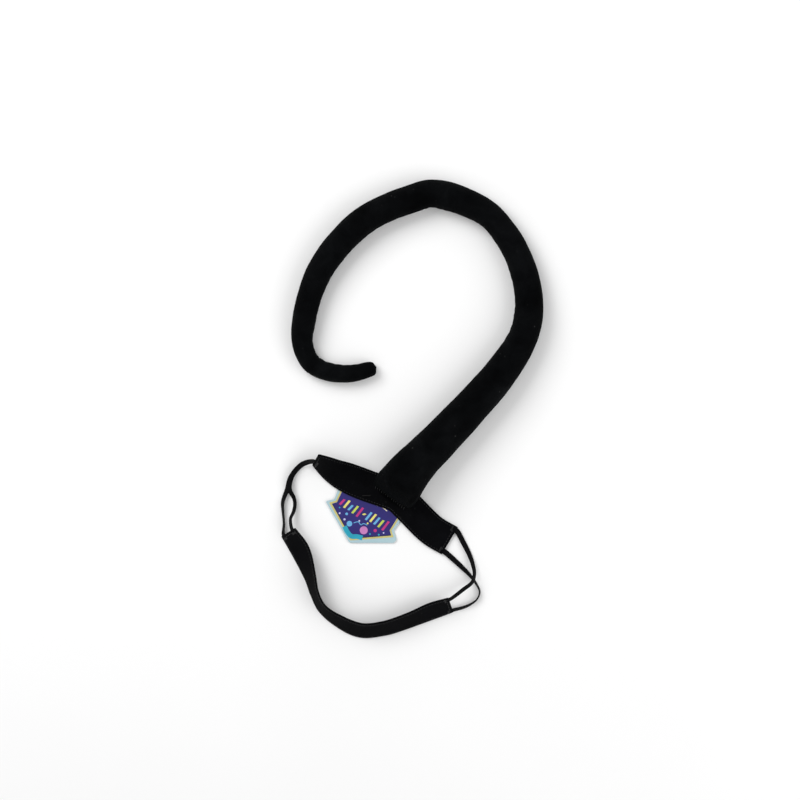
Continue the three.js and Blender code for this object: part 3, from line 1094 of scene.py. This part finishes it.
def stitches(name, rows, length=STITCH_LENGTH):
    """One piece of many stitches. rows holds (place, along, normal) for each."""
    bm = bmesh.new()
    stretch = Matrix.Diagonal((STITCH_THICK, STITCH_THICK * 1.5, length / 2, 1))
    for place, along, normal in rows:
        bmesh.ops.create_uvsphere(
            bm,
            u_segments=STITCH_SIDES,
            v_segments=STITCH_RINGS,
            radius=1.0,
            matrix=frame_matrix(place, along, normal) @ stretch,
        )
    piece = to_object(bm, name)
    finish_with(piece, black_thread)
    return piece


# %% Rows along the bands and across the elastic ends
TOPSTITCH_INSET = 2.4 * MM
TOPSTITCH_PITCH = 3.2 * MM
END_INSET = 3 * MM
TACK_STITCHES = 7
TACK_LENGTH = 2.6 * MM
TACK_INSET = 4.6 * MM


def on_band(line, width, s, x, side, seed):
    """A point on a band's outside (side 1) or lining (side -1), its length direction and its normal."""
    shape = band_shape(line, width, side, seed)
    s, x = np.array([s]), np.array([x])
    lift = side * BAND_HALF + shape(s, x)
    face = line.value("face", s)
    place = line.at(s) + line.value("width", s) * x[:, None] + face * lift[:, None]
    return place[0], line.direction(s)[0], face[0] * side


def band_stitches(name, body, line, width, seed, tacks):
    """Topstitching along both edges and both ends, and a bar of stitches over each elastic's end."""
    rows, bars = [], []
    edge = width / 2 - TOPSTITCH_INSET
    for side in (1, -1):
        for s in np.arange(END_INSET, line.length - END_INSET, TOPSTITCH_PITCH):
            for x in (-edge, edge):
                rows.append(on_band(line, width, s, x, side, seed))
        for s in (END_INSET, line.length - END_INSET):
            for x in np.arange(-edge + TOPSTITCH_PITCH, edge - TOPSTITCH_PITCH / 2, TOPSTITCH_PITCH):
                place, along, normal = on_band(line, width, s, x, side, seed)
                rows.append((place, np.cross(normal, along), normal))
        for s, share in tacks:
            for step in np.linspace(-0.5, 0.5, TACK_STITCHES):
                x = share * width + step * ELASTIC_WIDTH * 0.9
                bars.append(on_band(line, width, s, x, side, seed))
    for part_name, part_rows, length in (
        ("topstitch", rows, STITCH_LENGTH),
        ("bar_tacks", bars, TACK_LENGTH),
    ):
        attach(stitches(f"{name}_{part_name}", part_rows, length), body)
    print(f"{name}: {len(rows)} topstitches, {len(bars)} in bar tacks")


def elastic_places(line, at_back):
    """Where the elastics end on a band: distance along it and share of its width."""
    places = []
    for name, (back_place, _, front_place) in ELASTICS.items():
        s = line.length - TACK_INSET if "right" in name else TACK_INSET
        places.append((s, back_place if at_back else front_place))
    return places


for where, line, width, seed in (
    ("back", back_line, BACK_WIDTH, BACK_SEED),
    ("front", front_line, FRONT_WIDTH, FRONT_SEED),
):
    tacks = elastic_places(line, where == "back")
    band_stitches(f"{where}_band", f"{where}_belt", line, width, seed, tacks)

# %% [markdown]
# ## Where the tail is sewn on
# The tube's raw end is folded under and stitched down through the back band, so that a low flat lip of
# velour shows past the tail's end. The tail can lift off the band, and only this seam holds it. The lip
# stays on the belt.

# %% Seam allowance
LIP_LENGTH = 44 * MM
LIP_DEPTH = 15 * MM
LIP_SHIFT = 4 * MM
LIP_LIFT = BAND_TOP_Z + 0.3 * MM
LIP_PLEATS = 9
LIP_PLEAT_HEIGHT = 0.22 * MM
LIP_EDGE_DROP = 0.35 * MM
LIP_STEPS = 60
LIP_CUTS = 16


def seam_lip():
    """A pleated oval patch of velour between the band and the tail's end."""
    (centre,), (side,), *_ = tail_section(np.array([0.0]))
    along = tail_line.direction(np.array([0.0]))[0]
    bm = bmesh.new()
    bmesh.ops.create_grid(bm, x_segments=LIP_STEPS, y_segments=LIP_CUTS, size=0.5)
    for vert in bm.verts:
        x, y = 2 * vert.co.x, 2 * vert.co.y
        round_x = x * math.sqrt(1 - 0.5 * y * y)
        round_y = y * math.sqrt(1 - 0.5 * x**4)
        near_edge = max(abs(x), abs(y)) ** 6
        pleat = LIP_PLEAT_HEIGHT * math.cos(LIP_PLEATS * math.pi * x) * max(0.0, -y)
        place = centre + side * (round_x * LIP_LENGTH / 2) + along * (LIP_SHIFT + round_y * LIP_DEPTH / 2)
        vert.co = (place[0], place[1], LIP_LIFT + LAYER + pleat - LIP_EDGE_DROP * near_edge)
    bmesh.ops.recalc_face_normals(bm, faces=bm.faces[:])
    if bm.faces[:][0].normal.z < 0:
        bmesh.ops.reverse_faces(bm, faces=bm.faces[:])
    shell(bm, LAYER * 0.6)
    piece = to_object(bm, "tail_seam_lip")
    finish_with(piece, black_velour)
    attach(piece, "back_belt")
    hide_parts("tail_seam_tab")
    return centre, side, along


end_centre, end_side, end_along = seam_lip()

# %% Whip stitches over the seam
WHIP_STITCHES = 15
WHIP_SPREAD = 0.88
WHIP_LENGTH = 3.6 * MM
WHIP_LEAN = 0.35
whip_rows = []
for step in np.linspace(-1, 1, WHIP_STITCHES):
    place = end_centre + end_side * (step * WHIP_SPREAD * LIP_LENGTH / 2) - end_along * 0.6 * MM
    place[2] = LIP_LIFT + LAYER + 0.4 * MM
    whip_rows.append((place, end_along + end_side * WHIP_LEAN + UP * 0.25, UP))
whip = stitches("tail_whip_stitches", whip_rows, WHIP_LENGTH)
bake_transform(whip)
print("whip stitches:", len(whip_rows))

# %% [markdown]
# ## The hang tag
# The tag is a printed card under the back band, face up, held by a plastic fastener through both. The card
# is pale, with a thin gold frame, a navy field, a row of slanting bars in party colours, a few discs and
# dots and a curl of ribbon. The print is thin inlays on the card, each with its own ink.

# %% Tag directions
TAG_MIDDLE = np.array([-54.9, -121.4, 0]) * MM
TAG_ALONG = np.array([0.8815, -0.4722, 0])
TAG_ACROSS = np.array([0.4722, 0.8815, 0])
CARD_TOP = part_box("tag_card")[1][2]
INK_THICK = 0.05 * MM
DISC_SIDES = 32
INK_DARKER, INK_LIGHTER = 0.82, 1.12


def on_tag(a, p, layer):
    """A place on the tag, a millimetres along it and p across it, on the given layer of ink."""
    place = TAG_MIDDLE + (TAG_ALONG * a + TAG_ACROSS * p) * MM
    return Vector((place[0], place[1], CARD_TOP + layer * INK_THICK))


def ink(name, rgb):
    """Printed ink: a fine speckle of the press and a satin surface."""
    made, tree, shader, place = new_material(name)
    speckle = grain(tree, place, Scale=2600.0, Detail=2.0)
    cloud = grain(tree, place, Scale=120.0, Detail=2.0)
    both = math_node(tree, "MULTIPLY", (speckle, "Fac"), (cloud, "Fac"))
    spread = math_node(tree, "MULTIPLY", (both, "Value"), 3.0)
    darker = tuple(channel * INK_DARKER for channel in rgb)
    lighter = tuple(min(1.0, channel * INK_LIGHTER) for channel in rgb)
    colour = tint(tree, (spread, "Value"), darker, lighter)
    coat(tree, shader, colour, bump(tree, (speckle, "Fac"), 0.00002, 0.4), Roughness=0.42)
    return made


INKS = {
    "gold": (0.52, 0.44, 0.13),
    "black": (0.006, 0.006, 0.008),
    "navy": (0.010, 0.005, 0.13),
    "magenta": (0.46, 0.016, 0.17),
    "yellow": (0.68, 0.62, 0.14),
    "sky": (0.11, 0.36, 0.62),
    "lime": (0.46, 0.56, 0.07),
    "pink": (0.48, 0.17, 0.42),
    "aqua": (0.006, 0.30, 0.42),
    "lilac": (0.50, 0.50, 0.74),
    "cream": (0.80, 0.72, 0.48),
}
inks = {name: ink(f"{name}_ink", rgb) for name, rgb in INKS.items()}


# %% Inlays
def patch(bm, corners, layer):
    """A flat inlay with the given corners, one layer of ink thick."""
    verts = [bm.verts.new(on_tag(a, p, layer)) for a, p in corners]
    made = bmesh.ops.contextual_create(bm, geom=verts)["faces"]
    thicken(bm, made)


def disc(bm, a, p, radius, layer):
    at = Matrix.Translation(on_tag(a, p, layer))
    made = bmesh.ops.create_circle(bm, cap_ends=True, segments=DISC_SIDES, radius=radius * MM, matrix=at)
    faces = {face for vert in made["verts"] for face in vert.link_faces}
    thicken(bm, list(faces))


def thicken(bm, faces):
    """Raises new faces by one layer of ink into a closed slab."""
    lifted = bmesh.ops.extrude_face_region(bm, geom=faces, use_keep_orig=True)["geom"]
    verts = [g for g in lifted if isinstance(g, bmesh.types.BMVert)]
    bmesh.ops.translate(bm, verts=verts, vec=(0, 0, INK_THICK))
    bmesh.ops.recalc_face_normals(bm, faces=bm.faces[:])


def finish_inlay(bm, name, ink_name):
    bmesh.ops.recalc_face_normals(bm, faces=bm.faces[:])
    piece = to_object(bm, name)
    piece.data.shade_flat()
    finish_with(piece, inks[ink_name])
    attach(piece, "hang_tag")


def mitred(line):
    """How far each point of a line moves sideways for a width of one, with square corners kept square."""
    run = unit(np.diff(line, axis=0))
    before, after = np.vstack([run[:1], run]), np.vstack([run, run[-1:]])
    middle = unit(before + after)
    stretch = 1 / np.sum(middle * after, -1, keepdims=True)
    return np.stack([-middle[:, 1], middle[:, 0]], -1) * stretch


def ribbon(bm, line, width, layer):
    """An inlay of one width along a line on the tag."""
    out = mitred(line) * width
    last = len(line) - 1
    made = bmesh.ops.create_grid(bm, x_segments=last, y_segments=1, size=0.5)["verts"]
    for vert in made:
        i = round((vert.co.x + 0.5) * last)
        vert.co = on_tag(*(line[i] + out[i] * vert.co.y), layer)
    thicken(bm, list({face for vert in made for face in vert.link_faces}))


# %% The print
FIELD = [(-37.2, 0.8), (0, -23.2), (37.2, 0.8), (33.0, 5.0), (34.2, 28), (-34.2, 28), (-33.0, 5.0)]
FRAME = [(-35.2, 24.0), (-33.9, 5.6), (-38.9, 0.6), (0, -24.2), (38.9, 0.6), (33.9, 5.6), (35.2, 24.0)]
FRAME_WIDTH = 1.7
KEYLINE = [(-36.6, 0.9), (0, -22.5), (36.6, 0.9)]
KEYLINE_WIDTH = 0.8
BAR_WIDTH = 2.5
BAR_LEAN = 2.0
# Middle, low and high across, and ink of each bar.
BARS = [
    (-28.0, 4.2, 11.7, "magenta"),
    (-22.4, 3.2, 13.2, "yellow"),
    (-17.0, 3.2, 10.2, "sky"),
    (-11.4, 2.2, 12.2, "lime"),
    (-5.6, 1.2, 13.2, "magenta"),
    (-0.2, 6.2, 8.7, "yellow"),
    (5.2, 2.7, 13.2, "sky"),
    (10.4, 3.2, 13.7, "yellow"),
    (15.6, 2.7, 12.2, "sky"),
    (21.0, 2.2, 11.7, "lime"),
    (26.6, 1.2, 13.2, "magenta"),
]
# Place along and across, radius and ink of each disc and dot.
DISCS = [
    (-9.7, -9.4, 3.1, "sky"),
    (7.7, -8.4, 4.4, "pink"),
    (19.0, -2.7, 1.8, "magenta"),
    (-17.5, -1.3, 1.5, "sky"),
    (-24.7, -4.3, 1.0, "lilac"),
    (-16.7, -7.8, 1.2, "lilac"),
    (15.7, -8.8, 0.9, "aqua"),
    (24.7, -4.9, 1.0, "aqua"),
    (7.9, 0.4, 1.0, "yellow"),
    (-27.6, 1.2, 0.8, "aqua"),
    (-1.5, -1.5, 0.9, "lilac"),
    (28.4, -0.6, 0.8, "lilac"),
]
RIBBON = [(-13.0, -14.5), (-7.5, -18.5), (-1.0, -20.6), (4.5, -18.0), (10.5, -16.6)]
RIBBON_WIDTH = 5.2
RIBBON_INK = "aqua"
CURLS = [
    ([(-6.0, -6.5), (-2.0, -3.0), (2.0, -4.5), (4.0, -2.0), (8.5, -1.5)], "sky"),
    ([(7.3, 22.5), (14.0, 23.5), (20.5, 22.5)], "cream"),
]
CURL_WIDTH = 0.8
CURL_POINTS = 8

# Each kind of print lies on its own layer, so that no two share a surface.
FIELD_LAYER, FRAME_LAYER, KEYLINE_LAYER, BAR_LAYER, DISC_LAYER, RIBBON_LAYER = 0, 1, 2, 1, 2, 3

field = bmesh.new()
patch(field, FIELD, FIELD_LAYER)
finish_inlay(field, "tag_field", "navy")

for name, corners, width, ink_name, layer in (
    ("tag_frame", FRAME, FRAME_WIDTH, "gold", FRAME_LAYER),
    ("tag_keyline", KEYLINE, KEYLINE_WIDTH, "black", KEYLINE_LAYER),
):
    rules = bmesh.new()
    ribbon(rules, np.array(corners, float), width, layer)
    finish_inlay(rules, name, ink_name)


def bar(bm, a, low, high):
    """One slanting bar of the row."""
    foot, head, half = a - BAR_LEAN / 2, a + BAR_LEAN / 2, BAR_WIDTH / 2
    corners = [(foot - half, low), (foot + half, low), (head + half, high), (head - half, high)]
    patch(bm, corners, BAR_LAYER)


for ink_name in INKS:
    marks = bmesh.new()
    for a, low, high, name in BARS:
        if name == ink_name:
            bar(marks, a, low, high)
    for a, p, radius, name in DISCS:
        if name == ink_name:
            disc(marks, a, p, radius, DISC_LAYER)
    for points, name in CURLS:
        if name == ink_name:
            ribbon(marks, smooth_line(points, count=CURL_POINTS), CURL_WIDTH, DISC_LAYER)
    if ink_name == RIBBON_INK:
        ribbon(marks, smooth_line(RIBBON, count=CURL_POINTS), RIBBON_WIDTH, RIBBON_LAYER)
    if marks.verts:
        finish_inlay(marks, f"tag_{ink_name}_marks", ink_name)
print("bars and discs:", len(BARS), len(DISCS))


# %% Card stock and the fastener's plastic
def card_stock():
    """Coated card: a pale blue face with faint fibres."""
    made, tree, shader, place = new_material("pale_card")
    flecks = grain(tree, place, Scale=900.0, Detail=4.0, Distortion=1.0)
    cloud = grain(tree, place, Scale=40.0, Detail=2.0)
    stock = tint(tree, (cloud, "Fac"), (0.36, 0.54, 0.60), (0.47, 0.63, 0.67))
    colour = add(tree, "ShaderNodeMix", data_type="RGBA", blend_type="MULTIPLY", Factor=0.2)
    grey = add(tree, "ShaderNodeCombineColor")
    for channel in ("Red", "Green", "Blue"):
        wire(tree, (flecks, "Fac", grey, channel))
    wire(tree, (stock, MIX_RESULT, colour, MIX_A), (grey, "Color", colour, MIX_B))
    coat(tree, shader, colour, bump(tree, (flecks, "Fac"), 0.00003, 0.5), Roughness=0.45)
    return made


def black_nylon():
    """Black nylon with the faint haze that moulding leaves."""
    made, tree, shader, place = new_material("black_nylon")
    haze = grain(tree, place, Scale=420.0, Detail=3.0)
    colour = tint(tree, (haze, "Fac"), (0.002, 0.002, 0.002), (0.005, 0.005, 0.005))
    roughen(tree, shader, (haze, "Fac"), 0.5, 0.75)
    coat(tree, shader, colour, bump(tree, (haze, "Fac"), 0.00005, 0.4), Specular_IOR_Level=0.2)
    return made


for node, material in (("tag_card", card_stock()), ("tag_fastener", black_nylon())):
    finish_with(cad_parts[node], material)
print("card and fastener finished")

# %% [markdown]
# ## Floor and light
# A plain pale floor, a broad soft light from the upper left and a weaker one from the right. Black velour
# shows its form only through grazing light, so the main light is low enough to catch the pile along the
# edges.

# %% Floor
FLOOR_SIZE = 6.0


def floor_finish():
    made, tree, shader, place = new_material("pale_floor")
    cloud = grain(tree, place, Scale=3.0, Detail=3.0)
    colour = tint(tree, (cloud, "Fac"), (0.86, 0.86, 0.86), (0.90, 0.90, 0.90))
    coat(tree, shader, colour, Roughness=0.9)
    return made


floor_mesh = bmesh.new()
bmesh.ops.create_grid(floor_mesh, x_segments=1, y_segments=1, size=FLOOR_SIZE / 2)
floor = to_object(floor_mesh, "floor")
finish_with(floor, floor_finish())


# %% Lights
def area_light(name, place, size, power):
    data = bpy.data.lights.new(name, "AREA")
    data.size = size
    data.energy = power
    lamp = bpy.data.objects.new(name, data)
    lamp.location = place
    lamp.rotation_euler = (-Vector(place)).to_track_quat("-Z", "Y").to_euler()
    bpy.context.collection.objects.link(lamp)


WORLD_STRENGTH = 0.62
area_light("main_light", (-1.1, 1.0, 1.5), 1.2, 26)
area_light("side_light", (1.3, -0.4, 1.2), 1.4, 11)
world = bpy.data.worlds.new("studio")
world.use_nodes = True
world.node_tree.nodes["Background"].inputs["Color"].default_value = (1, 1, 1, 1)
world.node_tree.nodes["Background"].inputs["Strength"].default_value = WORLD_STRENGTH
bpy.context.scene.world = world
bpy.context.scene.view_settings.view_transform = "Standard"
